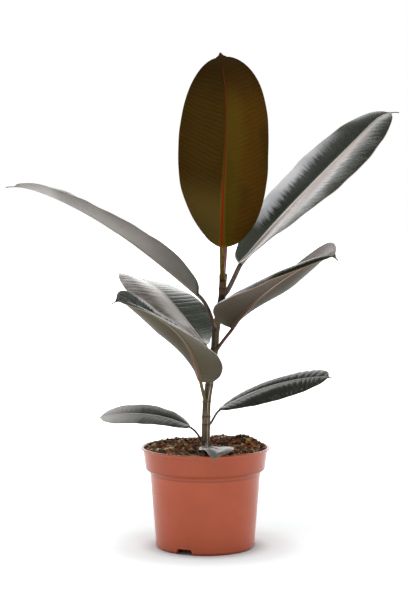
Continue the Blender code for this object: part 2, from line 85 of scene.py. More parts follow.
class Wire:
    # one output socket. Sums of wires, numbers and (x, y, z) tuples add the nodes that work them out. The
    # loop below the class gives it + - * / and **, each with its reflected form.
    def __init__(self, tree, socket):
        self.tree = tree
        self.socket = socket

    def __abs__(self):
        return self.sum("ABSOLUTE", self)

    def node(self, kind, settings=None, values=None, output=0):
        made = self.tree.nodes.new("ShaderNode" + kind)
        for name, value in (settings or {}).items():
            if name == "stops":
                setStops(made.color_ramp, value)
            else:
                setattr(made, name, value)
        for name, value in (values or {}).items():
            if isinstance(value, Wire):
                self.tree.links.new(value.socket, made.inputs[name])
            else:
                made.inputs[name].default_value = value
        return Wire(self.tree, made.outputs[output])

    def sum(self, operation, first, second=0.0):
        both = (first, second)
        if any(isWide(value) for value in both):
            both = [(value,) * 3 if isinstance(value, (int, float)) else value for value in both]
            return self.node("VectorMath", {"operation": operation}, dict(enumerate(both)))
        return self.node("Math", {"operation": operation}, dict(enumerate(both)))

    def wave(self):
        # from 0 to 1 and back with each turn
        return self.sum("COSINE", self) * 0.5 + 0.5

    def axes(self):
        made = self.node("SeparateXYZ", None, {0: self}).socket.node
        return [Wire(self.tree, made.outputs[k]) for k in range(3)]

    def field(self, name, wide=True):
        # what keepField gave each point: three numbers, or one
        return self.node("Attribute", {"attribute_name": name}, output=1 if wide else 2)

    def ease(self, low, high):
        # 0 below low, 1 above high. With low above high it falls instead.
        limits = {"Value": self, "From Min": low, "From Max": high}
        return self.node("MapRange", {"interpolation_type": "SMOOTHSTEP"}, limits)

    def band(self, start, full, fading, end):
        return self.ease(start, full) * self.ease(end, fading)

    def mix(self, off, on):
        # this wire is the mask. Its ends are wires, numbers, tuples or colour codes.
        off, on = [linear(end) if isinstance(end, str) else end for end in (off, on)]
        if not (isWide(off) or isWide(on)):
            return self.node("Mix", {"data_type": "FLOAT"}, {0: self, 2: off, 3: on})
        off, on = [(*end, 1.0) if isinstance(end, tuple) else end for end in (off, on)]
        return self.node("Mix", {"data_type": "RGBA"}, {0: self, 6: off, 7: on}, 2)

    def bump(self, distance, strength):
        return self.node("Bump", None, {"Height": self, "Distance": distance, "Strength": strength})


for word, kind in dict(add="ADD", sub="SUBTRACT", mul="MULTIPLY", truediv="DIVIDE", pow="POWER").items():
    setattr(Wire, f"__{word}__", lambda wire, other, kind=kind: wire.sum(kind, wire, other))
    setattr(Wire, f"__r{word}__", lambda wire, other, kind=kind: wire.sum(kind, other, wire))


def isWide(value):
    return isinstance(value, tuple) or (isinstance(value, Wire) and value.socket.type != "VALUE")


def setStops(ramp, stops):
    while len(ramp.elements) < len(stops):
        ramp.elements.new(1.0)
    for element, (place, code) in zip(ramp.elements, stops):
        element.position = place
        element.color = (*linear(code), 1.0)


def speckle(place, scale=1.0, detail=2.0, rough=0.5):
    # noise at a place, which is one wire, or two or three of them for its axes
    if isinstance(place, tuple):
        place = place[0].node("CombineXYZ", None, dict(enumerate(place)))
    values = {"Vector": place, "Scale": scale, "Detail": detail, "Roughness": rough}
    return place.node("TexNoise", None, values)


def paint(colour, tones, **masks):
    # coats over a colour, one after the other. Each mask has the name of its tone.
    for name, mask in masks.items():
        colour = mask.mix(colour, tones[name])
    return colour


def newMaterial(name, settings):
    # the material, and a wire to start from
    made = bpy.data.materials.new(name)
    made.use_nodes = True
    shader = made.node_tree.nodes["Principled BSDF"]
    for socket, value in settings.items():
        shader.inputs[socket].default_value = value
    return made, Wire(made.node_tree, shader.outputs[0])


def finish(made, colour, roughness, normal):
    inputs = made.node_tree.nodes["Principled BSDF"].inputs
    for wire, name in ((colour, "Base Color"), (roughness, "Roughness"), (normal, "Normal")):
        made.node_tree.links.new(wire.socket, inputs[name])
    return made


# Meshes

def meshPiece(name, points, faces, materials, slots=None):
    mesh = bpy.data.meshes.new(name)
    mesh.vertices.add(len(points))
    mesh.vertices.foreach_set("co", np.asarray(points, np.float32).ravel())
    sizes = np.array([len(face) for face in faces], np.int32)
    mesh.loops.add(int(sizes.sum()))
    mesh.loops.foreach_set("vertex_index", np.concatenate([np.asarray(face, np.int32) for face in faces]))
    mesh.polygons.add(len(faces))
    mesh.polygons.foreach_set("loop_start", np.concatenate([[0], np.cumsum(sizes)[:-1]]).astype(np.int32))
    for material in materials:
        mesh.materials.append(material)
    if slots is not None:
        mesh.polygons.foreach_set("material_index", np.asarray(slots, np.int32))
    mesh.update(calc_edges=True)
    mesh.validate()
    mesh.shade_smooth()
    return addObject(name, mesh)


def keepField(made, name, values):
    # one number, or three, for each point, which the material reads by name
    values = np.asarray(values, np.float32)
    wide = values.ndim > 1
    field = made.data.attributes.new(name, "FLOAT_VECTOR" if wide else "FLOAT", "POINT")
    field.data.foreach_set("vector" if wide else "value", values.ravel())


def mount(made, node):
    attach(made, "root")
    if node:
        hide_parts(node)


def turnsAround(steps):
    return np.linspace(0, math.tau, steps, endpoint=False)


def ringAround(centre, radius, turns):
    return centre + np.stack([radius * np.cos(turns), radius * np.sin(turns), 0 * turns], axis=1)


def tubeFaces(rows, sides):
    # the wall, then both ends
    faces = []
    for i in range(rows - 1):
        for k in range(sides):
            j = (k + 1) % sides
            faces.append((i * sides + k, i * sides + j, (i + 1) * sides + j, (i + 1) * sides + k))
    faces.append(tuple(range(sides - 1, -1, -1)))
    faces.append(tuple((rows - 1) * sides + k for k in range(sides)))
    return faces


def tubePiece(name, rings, skin, material):
    # skin gives each point the cosine of its turn, its place along the tube and a mask
    made = meshPiece(name, np.vstack(rings), tubeFaces(len(rings), len(rings[0])), [material])
    keepField(made, "skin", np.vstack(skin))
    return made


# Stem: one woody shoot with a ring at each node. Bends are the height and sideways place of its centre.
# The scar and the green part are heights: start, full, fading, end.
stemPlan = {
    "bends": ((0.098, 0.0008), (0.149, 0.0008), (0.191, 0.0017), (0.263, 0.0125), (0.288, 0.0140),
              (0.330, 0.0220), (0.360, 0.0237)),
    "footRadius": 0.0056, "topRadius": 0.0048, "ring": 0.0006, "ringLength": 0.0022,
    "nodes": (0.1395, 0.162, 0.1725, 0.1925, 0.214, 0.238, 0.262, 0.289, 0.315, 0.341, 0.3575),
    "seenFrom": 0.112, "rows": 520, "sides": 64, "ridges": 9, "ridgeDepth": 0.00016,
    "ringWidth": 0.0011, "swelling": {"below": 0.0028, "length": 0.0018, "height": 0.00025},
    "greenPart": (0.165, 0.190, 0.285, 0.305), "scar": (0.3185, 0.3215, 0.3310, 0.3345),
    "tones": {"grain": ("#57462f", "#8c754c"), "olive": "#77672f", "bloom": "#b0aaa0", "shade": "#30261a",
              "green": "#231d10", "line": "#c4bdb2", "pore": "#8d7a60", "ring": "#2a1c14", "top": "#5c3026",
              "scar": "#1a110c"},
}


def stemCentre(height):
    heights, places = zip(*stemPlan["bends"])
    height = np.asarray(height, float)
    return np.stack([np.interp(height, heights, places), 0 * height, height], axis=-1)


def stemRadius(height):
    foot, top = stemPlan["bends"][0][0], stemPlan["bends"][-1][0]
    taper = stemPlan["topRadius"] - stemPlan["footRadius"]
    radius = stemPlan["footRadius"] + taper * (height - foot) / (top - foot)
    nearest = min(abs(height - node) for node in stemPlan["nodes"])
    return radius + stemPlan["ring"] * max(0.0, 1.0 - nearest / stemPlan["ringLength"])


def barkMaterial():
    made, start = newMaterial("stemBark", {"Specular IOR Level": 0.3})
    tones = stemPlan["tones"]
    turn, height, ring = start.field("skin").axes()
    grain = (turn * 3.2, height * 22)
    streak = speckle(grain, 1.0, 3.0, 0.6)
    fine = speckle((turn * 14, height * 130), 1.0, 3.0, 0.65)
    pores = speckle((turn * 16, height * 420), 1.0, 1.0)
    line = (abs(turn - 0.3) / 0.13).ease(1.0, 0.4) * streak.ease(0.35, 0.5) * height.ease(0.255, 0.235)
    colour = paint(
        streak.ease(0.38, 0.62).mix(*tones["grain"]), tones,
        olive=speckle(grain, 0.55).ease(0.5, 0.62) * 0.6,
        bloom=streak.ease(0.56, 0.64) * fine.ease(0.36, 0.55) * height.ease(0.27, 0.2) * 0.8,
        shade=turn.ease(-0.1, -0.85) * 0.45,
        green=height.band(*stemPlan["greenPart"]) * 0.62,
        line=line * 0.85,
        pore=pores.ease(0.7, 0.76) * 0.6,
        ring=ring * 0.65,
        top=height.ease(0.285, 0.33) * 0.5,
        scar=height.band(*stemPlan["scar"]) * 0.85,
    )
    relief = fine * 0.6 + pores.ease(0.66, 0.76) * 0.6 + streak * 0.6
    return finish(made, colour, 0.36 + 0.3 * fine, relief.bump(0.0005, 0.8))


def makeStem():
    plan = stemPlan
    swelling = plan["swelling"]
    turns = turnsAround(plan["sides"])
    rings, skin = [], []
    for height in np.linspace(plan["seenFrom"], plan["bends"][-1][0], plan["rows"]):
        gaps = [node - height for node in plan["nodes"]]
        ring = math.exp(-((min(map(abs, gaps)) / plan["ringWidth"]) ** 2))
        below = max(math.exp(-(((gap - swelling["below"]) / swelling["length"]) ** 2)) for gap in gaps)
        ridge = np.sin(plan["ridges"] * turns + 9 * math.sin(height * 40)) * plan["ridgeDepth"]
        ridge += np.sin(4 * turns + height * 90) * plan["ridgeDepth"] * 0.8
        radius = stemRadius(height) + ridge * (1 - ring) + swelling["height"] * below
        rings.append(ringAround(stemCentre(height), radius, turns))
        skin.append(np.stack([np.cos(turns), np.full_like(turns, height), np.full_like(turns, ring)], axis=1))
    mount(tubePiece("stemWood", rings, skin, barkMaterial()), "stem")


makeStem()
print("stem made")


# Bud: the slender sheath round the next leaf. It leaves the stem's top and leans to the right and back.
budPlan = {
    "length": 0.072, "radius": 0.0030, "tipRadius": 0.0006, "swell": 0.12, "lean": (0.11, 0.14),
    "sunk": 0.0004, "rows": 120, "sides": 40,
    "seam": {"depth": 0.00035, "turn": 1.4, "twist": 1.1, "width": 0.16},
    "tones": {"sheath": ("#7d4347", "#b25a4a"), "cloud": "#8c5a3a", "lines": "#c98a80", "seam": "#5c2a26"},
}


def budMaterial():
    made, start = newMaterial("budSheath", {"Coat Weight": 0.15, "Coat Roughness": 0.3})
    turn, share, seam = start.field("skin").axes()
    lines = speckle((turn * 30, share * 5))
    colour = paint(
        share.ease(0.0, 0.9).mix(*budPlan["tones"]["sheath"]), budPlan["tones"],
        cloud=speckle((turn * 2, share * 6), 1.0, 3.0).ease(0.4, 0.65) * 0.5,
        lines=lines.ease(0.45, 0.7) * 0.35,
        seam=seam * 0.6,
    )
    return finish(made, colour, 0.34 + lines * 0.2, lines.bump(0.0002, 0.6))


def makeBud():
    plan, groove = budPlan, budPlan["seam"]
    turns = turnsAround(plan["sides"])
    foot = stemCentre(stemPlan["bends"][-1][0]) - [0, 0, plan["sunk"]]
    leanX, leanY = plan["lean"]
    rings, skin = [], []
    for s in np.linspace(0, 1, plan["rows"]):
        centre = foot + np.array([leanX * s**1.5, leanY * s**1.5, s]) * plan["length"]
        swell = plan["radius"] * (1 + plan["swell"] * math.sin(math.pi * min(1, 2 * s)))
        radius = plan["tipRadius"] + (swell - plan["tipRadius"]) * math.sqrt(1 - s**1.6)
        aside = np.angle(np.exp(1j * (turns - groove["turn"] - groove["twist"] * s)))
        seam = np.exp(-((aside / groove["width"]) ** 2))
        rings.append(ringAround(centre, radius - groove["depth"] * seam * min(1, 6 * (1 - s)), turns))
        skin.append(np.stack([np.cos(turns), np.full_like(turns, s), seam], axis=1))
    mount(tubePiece("budSheath", rings, skin, budMaterial()), "bud")


makeBud()
print("bud made")


# Leaves. Triples run from the blade's base to its tip, and pairs are the left and the right half, as seen
# along the leaf from above. Out is the heading in which the stalk leaves the stem.
bladePlan = {
    "thickness": 0.0008, "mergeShare": 0.06, "dripShare": 0.036, "dripFlare": 2.0, "flareLength": 0.007,
    "droopStart": 0.82, "edgeTurn": 82.0, "petioleRise": 55.0, "foot": 0.0005, "stalkFlare": 0.35,
    "midribSteps": 600, "rows": 250, "petioleRows": 36, "columns": 26, "crowding": 1.15, "brim": 0.0010,
    "ribTaper": 0.75, "ridge": 0.28, "groove": 0.10, "veinSlope": 0.18, "veinBend": 2.6,
}

leafDefaults = {
    "cup": (0, 0), "openBase": (1, 1), "openTip": (1, 1), "tipDroop": 0, "rightShare": 1, "widest": 0.48,
    "baseRoundness": 2.2, "tipRoundness": 2.15, "petiole": 0.0022, "petiolePull": (0.36, 0.36),
    "dripStart": 0.955, "size": 1.0, "veinSpacing": 0.0085, "veinDepth": 0.00013, "wave": 0.0005,
    "lines": 0.4, "stripes": (0.25, 0.25), "shine": 0.5, "coat": 0.25, "gloss": 0.17, "underShine": 0.4,
    "upper": ("#0f150a", "#0f150a"), "sheen": ("#242c18", "#242c18"), "upperRib": "#b7aba0",
    "upperRibWidth": 0.55, "under": ("#5a5344", "#5a5344"), "patch": "#4c4438", "besideRib": "#5f6352",
    "underRib": ("#7c2a26", "#c0988c"), "ribWidth": 0.5, "veinLift": "#18130c", "edge": "#a98570",
    "edgeStart": 0.975, "tipShade": "#38362a", "stalk": "#4a3222", "stalkFoot": "#241811",
    "upperWashes": (), "underWashes": (),
}

# Many washes are painted sheen and painted reflections, and one is painted light shining through a leaf.
# Washes are areas of another tone: its code, its strength, the half it is on (1 left, -1 right, 0 both), from
# and to which share of the way to the margin, from and to which reach, and what differs from washDefaults.
washDefaults = {"soft": 0.12, "streak": 0.45, "fade": 0.04, "slant": 0.0}

leaves = {
    "leaf_top": dict(
        stemHeight=0.3530, out=-97, base=(0.0216, -0.0200, 0.3957), length=0.259, width=0.125, petiole=0.0031,
        rise=(79, 69, 65), heading=(-92, -84, -118), roll=(-21, -6, 12), fold=(26, 25), curl=(-6, -9),
        openBase=(1.35, 1.15), openTip=(0.75, 0.5), rightShare=1.03, widest=0.45, baseRoundness=2.5,
        dripStart=0.978, veinDepth=0.00010, stripes=(0.3, 0.45), lines=0.22, underShine=0.0,
        # Its golden underside is partly its own colour and partly painted light shining through it from
        # behind; the olive wash near the left half's midrib is that painted glow.
        under=("#452d0b", "#37260a"), patch="#33230a", underRib=("#7c1f0c", "#5c1c12"), besideRib="#54500f",
        stalk="#6b5527", edge="#54401f", tipShade="#2e2011",
        underWashes=(
            ("#54441f", 0.8, -1, (0.0, 1.1), (0.9, 1.26)),
            ("#4a3f10", 0.4, 1, (0.0, 0.4), (0.9, 1.8)),
            ("#1f1408", 0.8, 0, (0.0, 1.2), (1.82, 3.2), {"fade": 0.16}),
        ),
    ),
    "leaf_upper_right": dict(
        stemHeight=0.3335, out=15, base=(0.0464, 0.0220, 0.3710), length=0.322, width=0.122, petiole=0.0032,
        petiolePull=(0.3, 0.1), rise=(51.7, 40.4, 44.9), heading=(9.5, 30.8, 17.6), roll=(5, 6, 15.5),
        fold=(10.5, 12), curl=(-12, -21), openBase=(1.0, 1.04), openTip=(0.57, 0.72), cup=(29, 9),
        tipDroop=-53, rightShare=1.01, widest=0.536, baseRoundness=1.73, tipRoundness=2.16, veinDepth=0.00016,
        upperRib="#d2cbc4", edge="#9c8270",
        # Painted reflections: a pale band and a tan band beside the midrib on the right half, and a pale
        # feathered sheen towards the left half's margin. The last wash is grey-green, on the left half near
        # the base.
        upperWashes=(
            ("#b3afae", 0.85, -1, (0.0, 0.5), (0.9, 1.7), {"slant": -1.0}),
            ("#987f6d", 0.85, -1, (0.0, 0.34), (0.9, 1.84), {"slant": -0.3}),
            ("#b6b6b9", 0.9, 1, (0.58, 1.5), (1.19, 1.68), {"soft": 0.19, "streak": 0.5, "slant": 0.55}),
            ("#5d6453", 0.5, 1, (0.0, 0.8), (0.9, 1.16)),
        ),
    ),
    "leaf_upper_left": dict(
        stemHeight=0.2885, out=-112, base=(-0.0095, -0.0050, 0.3325), length=0.309, width=0.109,
        petiole=0.0025, rise=(36, 31, 12), heading=(154, 164, 173), roll=(32, 7, -9), fold=(14, 16),
        curl=(15, -14), openBase=(1.15, 1.3), openTip=(1.15, 1.1), tipDroop=-22, widest=0.38,
        baseRoundness=2.25, tipRoundness=2.45, stripes=(0.07, 0.07), lines=0.16,
        under=("#655c55", "#655c55"), patch="#504941", underRib=("#a8665c", "#c49a90"), edge="#6a5044",
        underWashes=(
            ("#4b463c", 0.75, 0, (0.0, 1.2), (0.9, 1.24)),
            ("#a9a5a0", 0.4, 0, (0.0, 1.2), (1.76, 1.9)),
        ),
    ),
    "leaf_mid_right": dict(
        stemHeight=0.2620, out=-40, base=(0.0359, -0.0080, 0.2890), length=0.250, width=0.114,
        rise=(37.9, 25.5, 19.9), heading=(-63.1, -55.6, -56.3), roll=(-34.5, -46.1, 0), fold=(4, -17),
        curl=(153, -78), openBase=(1.13, 0.80), openTip=(0.67, 0.59), cup=(57, 31), tipDroop=-59,
        rightShare=0.95, widest=0.43, baseRoundness=3.05, tipRoundness=1.72, ribWidth=0.42, shine=0.12,
        coat=0.0, under=("#453f34", "#564b40"), patch="#554a40", underRib=("#741a1c", "#c09a90"),
        stalk="#5c3222", upperRib="#d6d2ce",
        underWashes=(("#3a331c", 0.6, 0, (0.0, 1.2), (0.8, 1.2), {"fade": 0.07}),),
        # Painted sheen on the left half: a pale line along its margin, and a pale lavender band near the tip.
        upperWashes=(
            ("#c4c0bc", 0.85, 1, (0.86, 1.2), (1.05, 1.62)),
            ("#a39a96", 0.9, 1, (0.55, 1.2), (1.6, 1.95)),
        ),
    ),
    "leaf_back_left": dict(
        stemHeight=0.2360, out=115, base=(-0.0010, 0.0250, 0.2647), length=0.214, width=0.109,
        rise=(45, 24, 8), heading=(144, 121, 154), roll=(10, 8, 12), fold=(3, 1), curl=(-18, -2),
        baseRoundness=2.1, veinSpacing=0.0105, veinDepth=0.00050, shine=0.28, coat=0.05,
        # Painted sheen: the left half's pale grey tones and the near-white wash beside its midrib, where the
        # leaf mirrors the backdrop. The right half keeps its dark green.
        upper=("#57524a", "#1a2014"), sheen=("#b5a99f", "#3c4430"),
        upperWashes=(("#ece7e5", 0.8, 1, (0.0, 0.42), (1.15, 1.9), {"soft": 0.16}),),
    ),
    "leaf_front_left": dict(
        stemHeight=0.1925, out=-110, base=(-0.0062, -0.0140, 0.2200), length=0.234, width=0.112,
        rise=(60.7, 27.6, 27.5), heading=(-109.7, -120.4, -145.4), roll=(16, 32.5, 13.5), fold=(-41, -12),
        curl=(-23, 164), openBase=(1.03, 1.01), openTip=(0.60, 0.81), cup=(23, 54), tipDroop=-56,
        rightShare=1.12, widest=0.435, baseRoundness=3.36, tipRoundness=1.74, ribWidth=0.42, shine=0.12,
        coat=0.0, under=("#4d4634", "#4f4838"), patch="#484030", underRib=("#8a3a22", "#b09680"),
        # Painted sheen: the near-white wash along the right half's margin, and in part the near-white of the
        # midrib on the upper side.
        stalk="#5a4a22", upperRib="#d6d2ce", edge="#b8aaa0",
        upperWashes=(("#dedbd8", 0.95, -1, (0.945, 1.2), (1.1, 1.74), {"soft": 0.025, "streak": 0.1}),),
    ),
    "leaf_low_right": dict(
        stemHeight=0.1620, out=10, base=(0.0201, 0.0130, 0.1797), length=0.166, width=0.064, petiole=0.0015,
        rise=(24, 17, 0), heading=(36, -4, -40), roll=(3, 29, 36), fold=(12, 15), curl=(-69, -40),
        openBase=(1.0, 0.75), openTip=(0.1, 0.35), baseRoundness=2.1, size=0.6, veinDepth=0.00055,
        upper=("#10140d", "#10140d"), sheen=("#2c3124", "#2c3124"), upperRib="#dedad5", upperRibWidth=0.95,
    ),
    "leaf_low_left": dict(
        stemHeight=0.1400, out=170, base=(-0.0207, -0.0050, 0.1589), length=0.130, width=0.053,
        petiole=0.0014, rise=(26, 2, -14), heading=(172, 164, 170), roll=(-17, -26, -36), fold=(13, 6),
        curl=(-14, -23), size=0.6, veinSpacing=0.0065, veinDepth=0.00034, gloss=0.26,
        # Painted sheen: the left half's upper tones are lighter than the right half's, and the pale wash at
        # the tip is a painted highlight.
        upper=("#1b1f15", "#10140b"), sheen=("#3a3f32", "#23281b"), upperRib="#d2cec8", upperRibWidth=0.9,
        upperWashes=(("#cfcbc7", 0.75, 0, (0.0, 1.2), (1.74, 3.2), {"fade": 0.26}),),
    ),
    "leaf_rim": dict(
        stemHeight=0.1385, out=-80, base=(0.0022, -0.0211, 0.1354), length=0.097, width=0.045, petiole=0.0013,
        rise=(-10, 7, -15), heading=(-69, -82, -124), roll=(-9, -2, -11), fold=(41, 34), curl=(-59, -62),
        openBase=(0.78, 0.90), openTip=(0.95, 1.53), tipDroop=-77, rightShare=1.04, widest=0.49,
        baseRoundness=2.0, tipRoundness=1.97, size=0.6, veinSpacing=0.006, gloss=0.5,
        # Painted sheen: the grey upper tones stand in for the glare on this dark green leaf, whose own colour
        # shows in the green wash at the tip.
        upper=("#4c4c46", "#4c4c46"), sheen=("#77766e", "#77766e"), tipShade="#27401f",
        upperWashes=(("#27401f", 0.9, 0, (0.0, 1.2), (1.95, 2.3)),),
    ),
}


def alongTriple(values, share):
    base, middle, tip = values
    rest = 1 - share
    return base * rest * (rest - share) + 4 * middle * share * rest + tip * share * (share - rest)


def unit(vectors):
    return vectors / np.linalg.norm(vectors, axis=-1, keepdims=True)


def midribLine(leaf, shares):
    # points of the midrib, with the directions ahead, left and up at each
    plan = bladePlan
    fine = np.linspace(0, 1, plan["midribSteps"] + 1)
    droop = leaf["tipDroop"] * np.clip((fine - plan["droopStart"]) / (1 - plan["droopStart"]), 0, 1) ** 2
    rise = np.radians(alongTriple(leaf["rise"], fine) + droop)
    heading = np.radians(alongTriple(leaf["heading"], fine))
    roll = np.radians(alongTriple(leaf["roll"], fine))[:, None]
    ahead = np.stack([np.cos(rise) * np.cos(heading), np.cos(rise) * np.sin(heading), np.sin(rise)], axis=1)
    level = np.stack([-np.sin(heading), np.cos(heading), 0 * heading], axis=1)
    over = np.cross(ahead, level)
    steps = (ahead[1:] + ahead[:-1]) / 2 * leaf["length"] / plan["midribSteps"]
    points = np.array(leaf["base"]) + np.vstack([np.zeros(3), np.cumsum(steps, axis=0)])
    left = level * np.cos(roll) + over * np.sin(roll)
    up = over * np.cos(roll) - level * np.sin(roll)
    tables = (points, ahead, left, up)
    return [np.stack([np.interp(shares, fine, column) for column in table.T], axis=1) for table in tables]


def petioleLine(leaf, bladeAhead, bladeUp, count):
    # up and out of the stem, then round into the line of the midrib
    turn, rise = math.radians(leaf["out"]), math.radians(bladePlan["petioleRise"])
    out = np.array([math.cos(turn), math.sin(turn), 0.0])
    leaving = out * math.cos(rise) + np.array([0.0, 0.0, math.sin(rise)])
    foot = stemCentre(leaf["stemHeight"]) + out * (stemRadius(leaf["stemHeight"]) - bladePlan["foot"])
    end = np.array(leaf["base"])
    chord = np.linalg.norm(end - foot)
    first = foot + leaving * leaf["petiolePull"][0] * chord
    second = end - bladeAhead * leaf["petiolePull"][1] * chord
    s = (np.arange(count) / count)[:, None]
    r = 1 - s
    centres = foot * r**3 + 3 * first * s * r**2 + 3 * second * s**2 * r + end * s**3
    ahead = unit((first - foot) * r**2 + 2 * (second - first) * s * r + (end - second) * s**2)
    turned = ease(s, 0, 0.16)
    ahead = unit(out * (1 - turned) + ahead * turned)
    up = unit(bladeUp - ahead * (ahead @ bladeUp)[:, None])
    return centres, np.cross(up, ahead), up


def halfWidth(leaf, share, side):
    # an oval, never narrower than the drip tip, which flares where it leaves the oval
    plan, dripStart, widest = bladePlan, leaf["dripStart"], leaf["widest"]
    place = np.minimum(share / dripStart, 1)
    before = np.clip(1 - place / widest, 0, 1) ** leaf["baseRoundness"]
    after = np.clip((place - widest) / (1 - widest), 0, 1) ** leaf["tipRoundness"]
    oval = np.sqrt(np.clip(1 - np.where(place < widest, before, after), 0, 1))
    flare = plan["dripFlare"] * np.exp(-np.abs(share - dripStart) / plan["flareLength"])
    drip = np.where(share > 0.5, plan["dripShare"] * (1 + flare - 0.5 * ease(share, dripStart, 1)), 0)
    part = 2 - leaf["rightShare"] if side > 0 else leaf["rightShare"]
    return part * leaf["width"] / 2 * np.maximum(oval, drip)


def openness(leaf, share, half):
    base = 1 + (leaf["openBase"][half] - 1) * np.clip(1 - share / 0.4, 0, 1) ** 1.5
    tip = 1 + (leaf["openTip"][half] - 1) * np.clip(2 * share - 1, 0, 1) ** 1.5
    return base * tip


def veinRelief(leaf, along, away, place, side):
    # pillows between the side veins, which leave the midrib by turns and rise towards the tip
    lane = along - away * bladePlan["veinSlope"] - away**2 * bladePlan["veinBend"]
    lane = lane + (0.5 * leaf["veinSpacing"] if side > 0 else 0)
    phase = lane / leaf["veinSpacing"] + 0.35 * np.sin(lane * 60 + side) + 0.2 * np.sin(lane * 141)
    pillow = np.abs(np.sin(math.pi * phase)) ** 0.8 - 0.65
    strength = 0.7 + 0.3 * np.sin(lane * 37 + 2 * side)
    envelope = ease(place, 0.03, 0.16) * (1 - ease(place, 0.86, 0.97))
    swing = np.sin(along * 95 / leaf["size"] + 2.2 * side) + 0.6 * np.sin(along * 171 / leaf["size"] + side)
    margin = leaf["wave"] * leaf["size"] * swing * place**3
    return leaf["veinDepth"] * pillow * strength * envelope + margin


def leafHalf(leaf, centres, left, up, share, stalkReach, side):
    # upper and lower points of one half, from the midrib out, and the fields its materials read
    plan = bladePlan
    half = 0 if side > 0 else 1
    count = plan["columns"]
    share = share[:, None]
    wide = halfWidth(leaf, share, side)
    grown = ease(share, 0, plan["mergeShare"])
    flare = 1 + plan["stalkFlare"] * np.exp(-stalkReach[:, None] / 0.05) * (share == 0)
    petiole = leaf["petiole"] * flare
    edgeTurn = math.radians(plan["edgeTurn"])
    brim = np.minimum(0.5, plan["brim"] / np.maximum(wide, 1e-6))
    inner = np.linspace(0, 1, count - 2)[None, :] ** plan["crowding"] * (1 - brim)
    place = np.hstack([inner, 1 - brim * 0.5, 1 - brim * 0.14, 1 + 0 * brim])
    turn = edgeTurn * np.arange(count + 1)[None, :] / count
    away = wide * place + (1 - grown) * petiole * np.sin(turn)
    spread = wide + (1 - grown) * petiole * math.sin(edgeTurn)
    # the blade's bend about its midrib
    widened = np.minimum(1, wide / (3 * leaf["petiole"]))
    bent = openness(leaf, share, half) * widened
    cup = np.radians(leaf["cup"][half]) * np.clip(1 - 2 * share, 0, 1) ** 1.5
    fold = np.radians(leaf["fold"][half]) * bent + cup * widened
    curl = np.radians(leaf["curl"][half]) * bent + 1e-6
    angle = fold + curl * away / spread
    across = spread * (np.sin(angle) - np.sin(fold)) / curl
    lift = spread * (np.cos(fold) - np.cos(angle)) / curl
    left, up = left[:, None, :], up[:, None, :]
    middle = centres[:, None, :] + left * (side * across)[..., None] + up * lift[..., None]
    normal = up * np.cos(angle)[..., None] - left * (side * np.sin(angle))[..., None]
    near = (1 - ease(away, 0, leaf["petiole"] * 1.2))[..., None]
    normal = unit(normal * (1 - near) + up * near)
    along = share * leaf["length"]
    relief = grown * veinRelief(leaf, along, away, place, side) * (1 - ease(share, 0.9, 0.99))
    middle = middle + normal * relief[..., None]
    # its thickness: a round margin, a keel below the midrib, and above it a ridge between two grooves
    thin = np.sqrt(np.clip(1 - (np.clip(place - (1 - brim), 0, 1) / brim * 0.96) ** 2, 0, 1))
    skin = plan["thickness"] / 2
    rib = np.maximum(leaf["petiole"] * (1 - plan["ribTaper"] * share), skin)
    keel = (rib - skin) * np.exp(-((away / (rib * 1.05 + 0.0002)) ** 2) * 1.1)
    ridge = plan["ridge"] * rib * np.exp(-((away / (0.75 * rib)) ** 2))
    ridge = ridge - plan["groove"] * rib * np.exp(-((away / rib - 1.6) ** 2) * 2)
    blade = skin * thin
    stalk = petiole * np.cos(turn)
    upper = middle + normal * (stalk + (blade + ridge - stalk) * grown)[..., None]
    lower = middle - normal * (stalk + (blade + keel - stalk) * grown)[..., None]
    field = np.stack([np.broadcast_to(along, place.shape), side * away, place * grown], axis=2)
    reach = np.broadcast_to(np.where(share > 0, 1 + share, stalkReach[:, None]), place.shape)
    return upper, lower, field, reach


def leafMesh(name, leaf, materials):
    plan = bladePlan
    stalkRows = plan["petioleRows"]
    bladeRows = round(plan["rows"] * (leaf["length"] / 0.3) ** 0.5)
    even = np.linspace(0, 1, bladeRows + 1)
    shares = 0.6 * even + 0.4 * (1 - np.cos(math.pi * even)) / 2
    centres, ahead, left, up = midribLine(leaf, shares)
    stalk = petioleLine(leaf, ahead[0], up[0], stalkRows)
    centres, left, up = [np.vstack(pair) for pair in zip(stalk, (centres, left, up))]
    shares = np.concatenate([np.zeros(stalkRows), shares])
    stalkReach = np.concatenate([np.arange(stalkRows) / stalkRows, np.ones(bladeRows + 1)])
    right, leftHalf = [leafHalf(leaf, centres, left, up, shares, stalkReach, side) for side in (-1, 1)]
    upper, lower, field, reach = [
        np.concatenate([one[:, ::-1], other[:, 1:]], axis=1) for one, other in zip(right, leftHalf)
    ]
    grid = np.arange(reach.size).reshape(reach.shape)
    below = grid.size
    top = np.stack([grid[:-1, :-1], grid[1:, :-1], grid[1:, 1:], grid[:-1, 1:]], axis=2).reshape(-1, 4)

    def rim(line, flip):
        # closes one side, from the upper points to the lower ones
        faces = np.stack([line[:-1], line[:-1] + below, line[1:] + below, line[1:]], axis=1)
        return faces[:, ::-1] if flip else faces

    rims = rim(grid[:, 0], False), rim(grid[:, -1], True), rim(grid[0], True), rim(grid[-1], False)
    faces = np.vstack([top[:, ::-1], top + below, *rims])
    slots = np.zeros(len(faces))
    slots[len(top):2 * len(top)] = 1
    points = np.concatenate([upper.reshape(-1, 3), lower.reshape(-1, 3)])
    made = meshPiece(name, points, faces, materials, slots)
    keepField(made, "blade", np.tile(field.reshape(-1, 3), (2, 1)))
    keepField(made, "reach", np.tile(reach.reshape(-1), 2))
    return made


